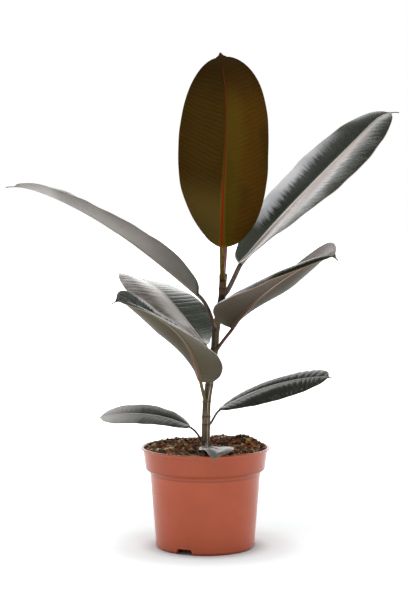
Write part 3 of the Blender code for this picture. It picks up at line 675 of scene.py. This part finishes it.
def bladeWires(start, leaf, cloudScale):
    # Across is in metres, place is the share of the way to the margin, and reach is 0 at the stem, 1 where
    # the blade starts and 2 at the tip. Fibre is a noise drawn out along the side veins.
    along, across, place = start.field("blade").axes()
    away = abs(across)
    side = across.ease(-0.0001, 0.0001)
    lane = along - away * bladePlan["veinSlope"] - away * away * bladePlan["veinBend"]
    fibre = speckle((lane * 330, away * 26, side * 9), 1.0, 2.0, 0.6)
    wobble = speckle((lane * 60, away * 40, side * 5), 1.0, 1.0)
    lines = ((lane / (leaf["veinSpacing"] / 2.6) + wobble * 1.3) * math.tau).wave() ** 7
    stripes = ((lane / (leaf["veinSpacing"] / 1.35) + wobble * 1.1) * math.tau).wave()
    cloud = speckle((along * cloudScale[0], across * cloudScale[1]), 1.0, 3.0)
    return across, place, start.field("reach", False), cloud, fibre, lines, stripes


def ribMask(across, reach, width):
    # 1 on the midrib, which narrows towards the tip
    narrowing = 1 - bladePlan["ribTaper"] * (reach - 1).ease(0.0, 0.8)
    return (abs(across) / (narrowing * width)).ease(1.15, 0.75)


def washOver(colour, washes, across, place, reach, fibre):
    for tone, strength, side, (inner, outer), (first, last), *own in washes:
        plan = {**washDefaults, **(own[0] if own else {})}
        soft, fade = plan["soft"], plan["fade"]
        feather = place + (fibre - 0.5) * plan["streak"] - (reach - 1.5) * plan["slant"]
        mask = feather.ease(outer + soft, outer - soft) * reach.ease(first - fade, first + fade)
        mask = mask * reach.ease(last + 3 * fade, last - 3 * fade)
        if inner > 0:
            mask = mask * feather.ease(inner - soft, inner + soft)
        if side:
            mask = mask * (across * side).ease(-0.0003, 0.0008)
        colour = (mask * strength).mix(colour, tone)
    return colour


def stalkColour(leaf, reach, across):
    streak = speckle((across * 1500, reach * 5)).ease(0.3, 0.7)
    base = linear(leaf["stalk"])
    light = tuple(min(1, c * 1.7 + 0.01) for c in base)
    dark = tuple(c * 0.45 for c in base)
    return paint(streak.mix(dark, light), leaf, stalkFoot=reach.ease(0.12, 0.0) * 0.6)


def upperMaterial(name, leaf):
    settings = {"Specular IOR Level": leaf["shine"], "Coat Roughness": 0.14, "Coat Weight": leaf["coat"]}
    made, start = newMaterial(name, settings)
    across, place, reach, cloud, fibre, lines, _ = bladeWires(start, leaf, (24, 30))
    half = across.ease(-0.0012, 0.0012)
    dark, light = [half.mix(*leaf[tones][::-1]) for tones in ("upper", "sheen")]
    colour = (fibre.ease(0.3, 0.75) * 0.5 + cloud.ease(0.4, 0.7) * 0.35).mix(dark, light)
    colour = (lines * 0.3).mix(colour, light * 1.8)
    colour = washOver(colour, leaf["upperWashes"], across, place, reach, fibre)
    rib = ribMask(across, reach, leaf["petiole"] * leaf["upperRibWidth"])
    brim = place.ease(leaf["edgeStart"], leaf["edgeStart"] + 0.02)
    colour = paint(colour, leaf, upperRib=rib * 0.85, edge=brim * 0.85)
    stalk = reach.ease(1.02, 0.99)
    colour = stalk.mix(colour, stalkColour(leaf, reach, across))
    gloss = stalk.mix((rib * 0.7).mix(leaf["gloss"] + fibre * 0.10 + cloud * 0.05, 0.4), 0.42)
    relief = (fibre * 1.2 - lines * 0.25) * place.ease(0.02, 0.1)
    return finish(made, colour, gloss, relief.bump(0.00035, 0.75))


def underMaterial(name, leaf):
    made, start = newMaterial(name, {"Specular IOR Level": leaf["underShine"]})
    across, place, reach, cloud, fibre, lines, stripes = bladeWires(start, leaf, (16, 26))
    half = across.ease(-0.0015, 0.0015)
    colour = paint(half.mix(*leaf["under"][::-1]), leaf, patch=cloud.ease(0.42, 0.68) * 0.6)
    striped = half.mix(*leaf["stripes"][::-1]) * place.ease(0.03, 0.14)
    colour = colour * (1 + striped * (stripes * 0.55 + fibre * 0.7 - 0.6))
    lighter = colour * 1.5 + linear(leaf["veinLift"])
    colour = (lines * place.ease(0.04, 0.12) * leaf["lines"]).mix(colour, lighter)
    colour = (place.ease(0.55, 1.0) * 0.4).mix(colour, colour * 0.55)
    colour = washOver(colour, leaf["underWashes"], across, place, reach, fibre)
    # Beside the midrib near the base, a band of painted shade along the raised keel.
    beside = ribMask(across, reach, leaf["petiole"] * 1.5) * reach.ease(1.75, 1.05)
    rib = ribMask(across, reach, leaf["petiole"] * leaf["ribWidth"]) * reach.ease(1.965, 1.88)
    colour = paint(colour, leaf, besideRib=beside * 0.6)
    colour = (rib * 0.95).mix(colour, reach.ease(1.15, 1.55).mix(*leaf["underRib"]))
    edge, tip = place.ease(0.985, 0.996), reach.ease(1.9, 1.985)
    colour = paint(colour, leaf, edge=edge * 0.8, tipShade=tip * 0.8)
    colour = reach.ease(1.02, 0.98).mix(colour, stalkColour(leaf, reach, across))
    relief = (lines * 0.5 + fibre * 0.7) * place.ease(0.02, 0.1)
    return finish(made, colour, 0.46 + fibre * 0.14, relief.bump(0.00030, 0.6))


def makeLeaf(node, plan):
    leaf = {**leafDefaults, **plan}
    name = "leaf" + node[len("leaf_"):].title().replace("_", "")
    materials = [upperMaterial(name + "Upper", leaf), underMaterial(name + "Under", leaf)]
    mount(leafMesh(name, leaf, materials), node)


for leafNode, leafPlan in leaves.items():
    makeLeaf(leafNode, leafPlan)
print("leaves made:", len(leaves))


# Pot: a moulded nursery pot. Its profile repeats the imported one with rounder corners and more sides: down
# the outside, under the foot and up the inside. Two numbers are a point, its radius and height. Three are a
# straight run towards a point, and its steps. Five are a round corner: its centre, its radius and its angles.
# The groove and the seam under its collar are heights: start, full, fading, end. Both are lines of painted
# shade.
potPlan = {
    "height": 0.1325, "lipHeight": 0.0028, "lipRootRadius": 0.0819, "collarFoot": (0.0787, 0.1055),
    "footRadius": 0.0622, "wall": 0.0016, "floor": 0.0086, "steps": 192, "cornerPoints": 7, "sharpFrom": 38.0,
    "profile": (
        (0.0836, 0.1311, 0.0014, 90, -70), (0.0823, 0.1296), (0.0819, 0.1289), (0.0787, 0.1055, 8),
        (0.0755, 0.1055, 0.0032, 0, -80), (0.0736, 0.1016), (0.0730, 0.1010), (0.0730, 0.0978),
        (0.0724, 0.0974), (0.0650, 0.0054, 12), (0.0621, 0.0044, 0.0032, 8, -78), (0.0618, 0.0),
        (0.0600, 0.0), (0.0596, 0.0005), (0.0596, 0.0086), (0.0240, 0.0086), (0.0220, 0.0003),
        (0.0217, 0.0), (0.0, 0.0), (0.0, 0.0016), (0.0210, 0.0016), (0.0230, 0.0102), (0.0637, 0.0102),
        (0.0711, 0.1022), (0.0771, 0.1047), (0.0803, 0.1297), (0.0811, 0.13186), (0.0819, 0.1324),
    ),
    "notches": {"count": 3, "topWidth": 0.019, "footWidth": 0.026, "height": 0.0076, "reach": 0.016},
    "holes": {"count": 6, "radius": 0.0045, "circle": 0.042, "sides": 24},
    "firstCut": -115.0, "cutPast": 0.002,
    "groove": (0.0960, 0.0972, 0.0976, 0.0988), "seam": (0.1020, 0.1035, 0.1050, 0.1062),
    # The lip tone is a painted highlight; the collar and lines tones are painted shade.
    "tones": {"plastic": ("#ad4b28", "#b5502d"), "flow": "#a04426", "dust": "#8d6a55", "lip": "#d59a84",
              "collar": "#8f3b1c", "lines": "#5c2512"},
}


def potProfile():
    points = []
    for x, y, *more in potPlan["profile"]:
        if len(more) == 3:
            radius, start, end = more
            for angle in np.radians(np.linspace(start, end, potPlan["cornerPoints"])):
                points.append((x + radius * math.cos(angle), y + radius * math.sin(angle)))
        elif more:
            fromX, fromY = points[-1]
            shares = [k / more[0] for k in range(1, more[0])]
            points += [(fromX + (x - fromX) * share, fromY + (y - fromY) * share) for share in shares]
        else:
            points.append((x, y))
    return points


def lathe(name, profile, steps, materials):
    # the profile starts and ends off the axis, and touches it where its radius is 0
    points, rings = [], []
    for radius, height in profile:
        if radius == 0:
            rings.append([len(points)] * steps)
            points.append((0.0, 0.0, height))
        else:
            rings.append(list(range(len(points), len(points) + steps)))
            points += [(radius * math.cos(t), radius * math.sin(t), height) for t in turnsAround(steps)]
    faces = []
    for i, ring in enumerate(rings):
        after = rings[(i + 1) % len(rings)]
        for k in range(steps):
            j = (k + 1) % steps
            corners = list(dict.fromkeys((ring[j], ring[k], after[k], after[j])))
            if len(corners) > 2:
                faces.append(tuple(corners))
    return meshPiece(name, points, faces, materials)


def wedge(name, turn, plan):
    # a cutter for one drain notch, wider at the ground
    middle, reach, past = potPlan["footRadius"], plan["reach"] / 2, potPlan["cutPast"]
    corners = []
    for x in (middle - reach, middle + reach):
        for width, height in ((plan["footWidth"], -past), (plan["topWidth"], plan["height"])):
            for y in (-0.5 * width, 0.5 * width):
                across, back = math.cos(turn), math.sin(turn)
                corners.append((x * across - y * back, x * back + y * across, height))
    faces = [(2, 3, 1, 0), (5, 7, 6, 4), (1, 5, 4, 0), (6, 7, 3, 2), (4, 6, 2, 0), (3, 7, 5, 1)]
    return meshPiece(name, corners, faces, [])


def drill(name, turn, plan):
    # a cutter for one drain hole
    floor, past, sides = potPlan["floor"], potPlan["cutPast"], plan["sides"]
    x, y = plan["circle"] * math.cos(turn), plan["circle"] * math.sin(turn)
    rings = []
    for height in (floor - past, floor + potPlan["wall"] + past):
        for k in range(sides):
            angle = math.tau * k / sides
            rings.append((x + plan["radius"] * math.cos(angle), y + plan["radius"] * math.sin(angle), height))
    return meshPiece(name, rings, tubeFaces(2, sides), [])


def cutAway(made, cutters):
    for tool in cutters:
        boolean = made.modifiers.new(tool.name, "BOOLEAN")
        boolean.operation = "DIFFERENCE"
        boolean.solver = "EXACT"
        boolean.object = tool
    graph = bpy.context.evaluated_depsgraph_get()
    cut = bpy.data.meshes.new_from_object(made.evaluated_get(graph))
    made.modifiers.clear()
    made.data = cut
    for tool in cutters:
        bpy.data.objects.remove(tool)


def potMaterial():
    made, start = newMaterial("pottedPlastic", {"Specular IOR Level": 0.38})
    place = start.node("NewGeometry", output="Position")
    height = place.axes()[2]
    cloud = speckle(place, 18.0, 3.0)
    grain = speckle(place, 1400.0)
    flow = speckle(place * (30.0, 30.0, 260.0), 1.0, 3.0)
    dust = speckle(place, 45.0).ease(0.45, 0.85) * height.ease(0.095, 0.135)
    colour = paint(
        cloud.ease(0.35, 0.7).mix(*potPlan["tones"]["plastic"]), potPlan["tones"],
        flow=flow.ease(0.45, 0.75) * 0.12,
        dust=dust * 0.2,
        # painted highlight: the lip paler along the top
        lip=height.ease(0.126, 0.1315) * 0.12,
        # painted shade: the collar and rim darker than the body below
        collar=height.ease(0.0950, 0.0975) * 0.4,
        # painted shade: dark lines in the groove and under the collar's edge
        lines=height.band(*potPlan["groove"]) * 0.28 + height.band(*potPlan["seam"]) * 0.35,
    )
    relief = grain * 0.5 + flow * 0.8
    return finish(made, colour, 0.22 + cloud * 0.06 + dust * 0.08, relief.bump(0.00012, 0.5))


def makePot():
    made = lathe("nurseryPot", potProfile(), potPlan["steps"], [potMaterial()])
    first = math.radians(potPlan["firstCut"])
    cutters = []
    for word, tool, plan in (("notch", wedge, potPlan["notches"]), ("hole", drill, potPlan["holes"])):
        turns = [first + math.tau * k / plan["count"] for k in range(plan["count"])]
        cutters += [tool(f"{word}{k}", turn, plan) for k, turn in enumerate(turns)]
    cutAway(made, cutters)
    made.data.shade_smooth()
    made.data.set_sharp_from_angle(angle=math.radians(potPlan["sharpFrom"]))
    mount(made, "pot")


makePot()
print("pot made")


# Soil: a heaped bed of peat with crumbs, bark chips, straw flakes and fibres on it. Each heap is its x, y,
# radius and height.
soilPlan = {
    "height": 0.1300, "depth": 0.012, "rings": 96, "steps": 224, "lumpHeight": 0.0011, "lumpSpacing": 0.034,
    "heaps": ((0.050, 0.034, 0.021, 0.0095), (0.020, 0.060, 0.017, 0.0055), (0.000, 0.000, 0.020, 0.0012),
              (0.004, -0.044, 0.026, -0.0026), (-0.058, -0.008, 0.026, -0.0022)),
    "gap": 0.0002, "reach": 0.0785, "stemGap": 0.0075, "crumbs": 2300, "chips": 620,
    "straw": {"count": 34, "place": (-0.046, -0.002), "spread": 0.013},
    "fibres": {"count": 520, "rows": 8, "sides": 4},
    "tones": {"peat": ("#1d120c", "#553b29"), "bark": "#84623f", "grit": "#b29372"},
    "litter": ((0.0, "#170e09"), (0.3, "#3c2719"), (0.55, "#715036"), (0.74, "#b79468"), (0.83, "#a9683c"),
               (0.88, "#c8582c"), (0.93, "#d6aa68"), (1.0, "#f0e0c4")),
}


def soilHeight(x, y):
    relief = 0.0
    for heapX, heapY, radius, height in soilPlan["heaps"]:
        relief += height * math.exp(-((x - heapX) ** 2 + (y - heapY) ** 2) / radius**2)
    turn = math.tau / soilPlan["lumpSpacing"]
    across = math.sin(turn * x + 1.3 * math.sin(turn * 0.6 * y))
    back = math.sin(turn * y + 0.9 * math.sin(turn * 0.7 * x))
    return soilPlan["height"] + relief + soilPlan["lumpHeight"] * across * back


def insideWall(height, gap):
    # how far out there is room for the soil
    collar, collarFoot = potPlan["collarFoot"]
    top = potPlan["height"] - potPlan["lipHeight"]
    wallOuter = float(np.interp(height, (collarFoot, top), (collar, potPlan["lipRootRadius"])))
    return wallOuter - potPlan["wall"] - gap


def soilMaterial():
    made, start = newMaterial("peat", {"Specular IOR Level": 0.25})
    place = start.node("NewGeometry", output="Position")
    coarse = speckle(place, 160.0, 4.0, 0.7)
    fine = speckle(place, 700.0, 3.0, 0.7)
    base = coarse.ease(0.35, 0.65).mix(*soilPlan["tones"]["peat"])
    colour = paint(base, soilPlan["tones"], bark=fine.ease(0.52, 0.66) * 0.8, grit=fine.ease(0.72, 0.76))
    return finish(made, colour, 0.85 + fine * 0.1, (coarse + fine * 0.7).bump(0.0016, 1.0))


def litterMaterial():
    made, start = newMaterial("crumbs", {"Specular IOR Level": 0.3})
    grain = speckle(start.node("NewGeometry", output="Position"), 900.0, 3.0, 0.7)
    colour = start.node("ValToRGB", {"stops": soilPlan["litter"]}, {0: start.field("tone", False)})
    return finish(made, colour * (0.65 + grain * 0.7), 0.7 + grain * 0.2, grain.bump(0.0006, 0.9))


def makeSoilBed():
    # a ring of points for each radius, roughened, over a flat underside
    plan = soilPlan
    rings, steps, gap = plan["rings"], plan["steps"], plan["gap"]
    full = insideWall(plan["height"], gap)
    around = [(math.cos(math.tau * k / steps), math.sin(math.tau * k / steps)) for k in range(steps)]
    points, faces = [(0.0, 0.0, soilHeight(0, 0))], []
    for i in range(1, rings + 1):
        radius = full * (i / rings) ** 0.8
        for x, y in around:
            spot = Vector((x * radius, y * radius, 0.3))
            rough = noise.fractal(spot * 190, 0.8, 2.1, 5) * 0.0013
            spot.z = 0.9
            rough += noise.turbulence(spot * 80, 3, False) * 0.0022 - 0.0014
            height = soilHeight(x * radius, y * radius) + rough
            fit = insideWall(height, gap) / full
            points.append((x * radius * fit, y * radius * fit, height))
    under = len(points)
    low = plan["height"] - plan["depth"]
    edge = insideWall(low, gap)
    points += [(0.0, 0.0, low)] + [(edge * x, edge * y, low) for x, y in around]
    last = 1 + (rings - 1) * steps
    for k in range(steps):
        j = (k + 1) % steps
        faces.append((0, 1 + k, 1 + j))
        faces.append((under, under + 1 + j, under + 1 + k))
        faces.append((last + k, under + 1 + k, under + 1 + j, last + j))
        for i in range(rings - 1):
            first = 1 + i * steps
            faces.append((first + k, first + steps + k, first + steps + j, first + j))
    mount(meshPiece("peatBed", points, faces, [soilMaterial()]), "soil")


def scatterPlaces(count, spread=1.0):
    # even over the disc, off the stem
    places = []
    while len(places) < count:
        radius = soilPlan["reach"] * math.sqrt(chance.random()) * spread
        turn = math.tau * chance.random()
        x, y = radius * math.cos(turn), radius * math.sin(turn)
        if math.hypot(x - stemPlan["bends"][0][1], y) > soilPlan["stemGap"]:
            places.append((x, y))
    return places


def spin(count):
    # random rotations as matrices
    turns = chance.normal(size=(count, 4))
    return np.array([Quaternion(turn).normalized().to_matrix() for turn in turns])


def lumpShape():
    # a ball of 20 triangles
    long = (1 + math.sqrt(5)) / 2
    pairs = [(s, t * long) for s in (-1, 1) for t in (-1, 1)]
    points = [(s, t, 0) for s, t in pairs] + [(0, s, t) for s, t in pairs] + [(t, 0, s) for s, t in pairs]
    points = np.array(points) / math.sqrt(1 + long * long)
    near = points @ points.T > 0
    faces = []
    for a, b, c in combinations(range(12), 3):
        if near[a, b] and near[b, c] and near[c, a]:
            faces.append((a, b, c) if np.linalg.det(points[[a, b, c]]) > 0 else (a, c, b))
    return points, np.array(faces)


def strewn(name, places, sizes, tones, flat, lift):
    # lumps in one mesh, each stretched, roughened and turned its own way. Flat ones are tilted a little and
    # turned about the vertical. Lift is in shares of the least size.
    shape, faces = lumpShape()
    count = len(places)
    turned = spin(count)
    rough = 1 + 0.22 * chance.normal(size=(count, len(shape)))
    bodies = shape[None] * rough[..., None] * sizes[:, None, :]
    if flat:
        tilt = 0.35 * chance.normal(size=(count, 2))
        angle = math.tau * chance.random(count)
        cosine, sine, none = np.cos(angle), np.sin(angle), 0 * angle
        rows = [[cosine, -sine, none], [sine, cosine, none], [*tilt.T, none + 1]]
        turned = np.array(rows).transpose(2, 0, 1)
    bodies = np.einsum("nij,nkj->nki", turned, bodies)
    ground = np.array([(x, y, soilHeight(x, y)) for x, y in places])
    ground[:, 2] += sizes.min(axis=1) * lift
    points = (bodies + ground[:, None]).reshape(-1, 3)
    limit = np.array([insideWall(min(z, potPlan["height"]), 2 * soilPlan["gap"]) for z in points[:, 2]])
    points[:, :2] *= np.minimum(1, limit / np.hypot(points[:, 0], points[:, 1]))[:, None]
    allFaces = (faces[None] + (np.arange(count) * len(shape))[:, None, None]).reshape(-1, 3)
    made = meshPiece(name, points, allFaces, [litter])
    keepField(made, "tone", np.repeat(tones, len(shape)))
    mount(made, None)


def flakeSizes(long, slimRange, thickRange):
    # ranges are a least value and what chance may add
    slim = slimRange[0] + slimRange[1] * chance.random(len(long))
    thick = thickRange[0] + thickRange[1] * chance.random(len(long))
    return np.stack([long, long * slim, thick], axis=1)


def makeCrumbs():
    count = soilPlan["crumbs"]
    size = 0.0006 + 0.0021 * chance.random(count)[:, None] ** 2 * np.ones(3)
    sizes = size + 0.0005 * chance.random((count, 3))
    tones = np.clip(chance.beta(1.3, 1.25, count), 0, 0.97)
    strewn("peatCrumbs", scatterPlaces(count), sizes, tones, False, 0.55)


def makeChips():
    count = soilPlan["chips"]
    sizes = flakeSizes(0.0020 + 0.0042 * chance.random(count) ** 1.5, (0.35, 0.3), (0.0004, 0.0003))
    dark = chance.random(count) < 0.5
    tones = np.where(dark, 0.1 + 0.4 * chance.random(count), 0.6 + 0.4 * chance.random(count))
    strewn("barkChips", scatterPlaces(count), sizes, tones, True, 3.6)


def makeStraw():
    # a few pale and orange flakes, on top at the left
    plan = soilPlan["straw"]
    places = [tuple(chance.normal(plan["place"], plan["spread"])) for k in range(plan["count"])]
    sizes = flakeSizes(0.0022 + 0.0030 * chance.random(plan["count"]), (0.35, 0.35), (0.0004, 0.0002))
    tones = 0.87 + 0.13 * chance.random(plan["count"])
    strewn("strawFlakes", places, sizes, tones, True, 8.0)


def makeFibres():
    # thin bent hairs of peat and coir
    plan = soilPlan["fibres"]
    rows, sides = plan["rows"], plan["sides"]
    points, faces, tones = [], [], []
    for x, y in scatterPlaces(plan["count"], 0.95):
        heading, bend = math.tau * chance.random(), chance.normal() * 90
        length = 0.005 + 0.012 * chance.random()
        radius = 0.00014 + 0.00026 * chance.random()
        rise = 0.0010 + 0.0024 * chance.random()
        tone = 0.3 + 0.68 * chance.random() ** 0.8
        first = len(points)
        for i in range(rows):
            heading += bend * length / rows
            x += math.cos(heading) * length / rows
            y += math.sin(heading) * length / rows
            z = soilHeight(x, y) + 0.0004 + rise * math.sin(math.pi * i / (rows - 1))
            room = insideWall(min(z, potPlan["height"]), 3 * soilPlan["gap"])
            out = min(1, room / math.hypot(x, y))
            for k in range(sides):
                angle = math.tau * k / sides
                side, over = radius * math.cos(angle), radius * math.sin(angle)
                bentX, bentY = x * out - math.sin(heading) * side, y * out + math.cos(heading) * side
                points.append((bentX, bentY, z + over))
        faces += [tuple(first + corner for corner in face) for face in tubeFaces(rows, sides)]
        tones += [tone] * (rows * sides)
    made = meshPiece("peatFibres", points, faces, [litter])
    keepField(made, "tone", tones)
    mount(made, None)


litter = litterMaterial()
makeSoilBed()
makeCrumbs()
makeChips()
makeStraw()
makeFibres()
print("soil made")


# Studio: a pale floor, a white backdrop, a lamp above and a softbox that shows only in gloss. The backdrop is
# brighter than the camera can show and the ceiling is dim, so waxy leaves are black-green, and white where
# they mirror the backdrop. Each glow of the floor is where it starts, where it is full, and its strength.
studioPlan = {
    "floorSize": 30.0, "floorColour": "#eaf4f6",
    "glow": ((0.061, 0.094, 0.27), (0.09, 0.15, 0.18), (0.15, 0.9, 0.9)),
    "backdrop": 2.5, "ceiling": 0.22, "cameraSide": 0.40, "backdropTop": (0.34, 0.60),
    "top": {"place": (-0.15, -1.0, 2.6), "aim": (0, 0, 0.2), "size": (1.6, 1.6), "power": 29.0,
            "sheenOnly": False},
    "softbox": {"place": (-0.505, 1.62, 1.919), "aim": (0.15, 0.08, 0.49), "size": (1.51, 0.52), "power": 5.0,
                "sheenOnly": True},
}


def makeLamp(name):
    plan = studioPlan[name]
    data = bpy.data.lights.new(name, "AREA")
    data.shape = "RECTANGLE"
    data.size, data.size_y = plan["size"]
    data.energy = plan["power"]
    made = addObject(name, data)
    made.location = plan["place"]
    made.visible_diffuse = not plan["sheenOnly"]
    made.rotation_euler = (Vector(plan["aim"]) - Vector(plan["place"])).to_track_quat("-Z", "Y").to_euler()


def makeFloor():
    # it glows away from the pot, as an overexposed sweep does, so that it meets the backdrop unseen
    half = studioPlan["floorSize"] / 2
    corners = [(-half, -half, 0), (half, -half, 0), (half, half, 0), (-half, half, 0)]
    colour = (*linear(studioPlan["floorColour"]), 1.0)
    settings = {"Base Color": colour, "Roughness": 0.9, "Specular IOR Level": 0.1, "Emission Strength": 1.0}
    made, start = newMaterial("floorPaper", settings)
    place = start.node("NewGeometry", output="Position")
    distance = place.node("VectorMath", {"operation": "LENGTH"}, {0: place}, "Value")
    glow = 0.0
    for low, high, strength in studioPlan["glow"]:
        glow = distance.ease(low, high) * strength + glow
    light = glow.node("CombineXYZ", None, {0: glow, 1: glow, 2: glow})
    made.node_tree.links.new(light.socket, start.socket.node.inputs["Emission Color"])
    meshPiece("floor", corners, [(0, 1, 2, 3)], [made])


def makeWorld():
    world = bpy.data.worlds.new("studio")
    bpy.context.scene.world = world
    world.use_nodes = True
    back = world.node_tree.nodes["Background"]
    start = Wire(world.node_tree, back.outputs[0])
    _, depth, height = start.node("TexCoord", output="Generated").axes()
    low, high = studioPlan["backdropTop"]
    behind = depth.ease(-0.16, 0.35) * height.ease(high, low)
    dim = height.ease(0.2, 0.8).mix(studioPlan["cameraSide"], studioPlan["ceiling"])
    light = behind.mix(dim, studioPlan["backdrop"])
    seen = start.node("LightPath", output="Is Camera Ray").mix(light, 1.0)
    world.node_tree.links.new(seen.socket, back.inputs["Strength"])
    back.inputs["Color"].default_value = (1, 1, 1, 1)


makeFloor()
makeWorld()
makeLamp("top")
makeLamp("softbox")
bpy.context.scene.view_settings.view_transform = "Standard"
print("studio lit")
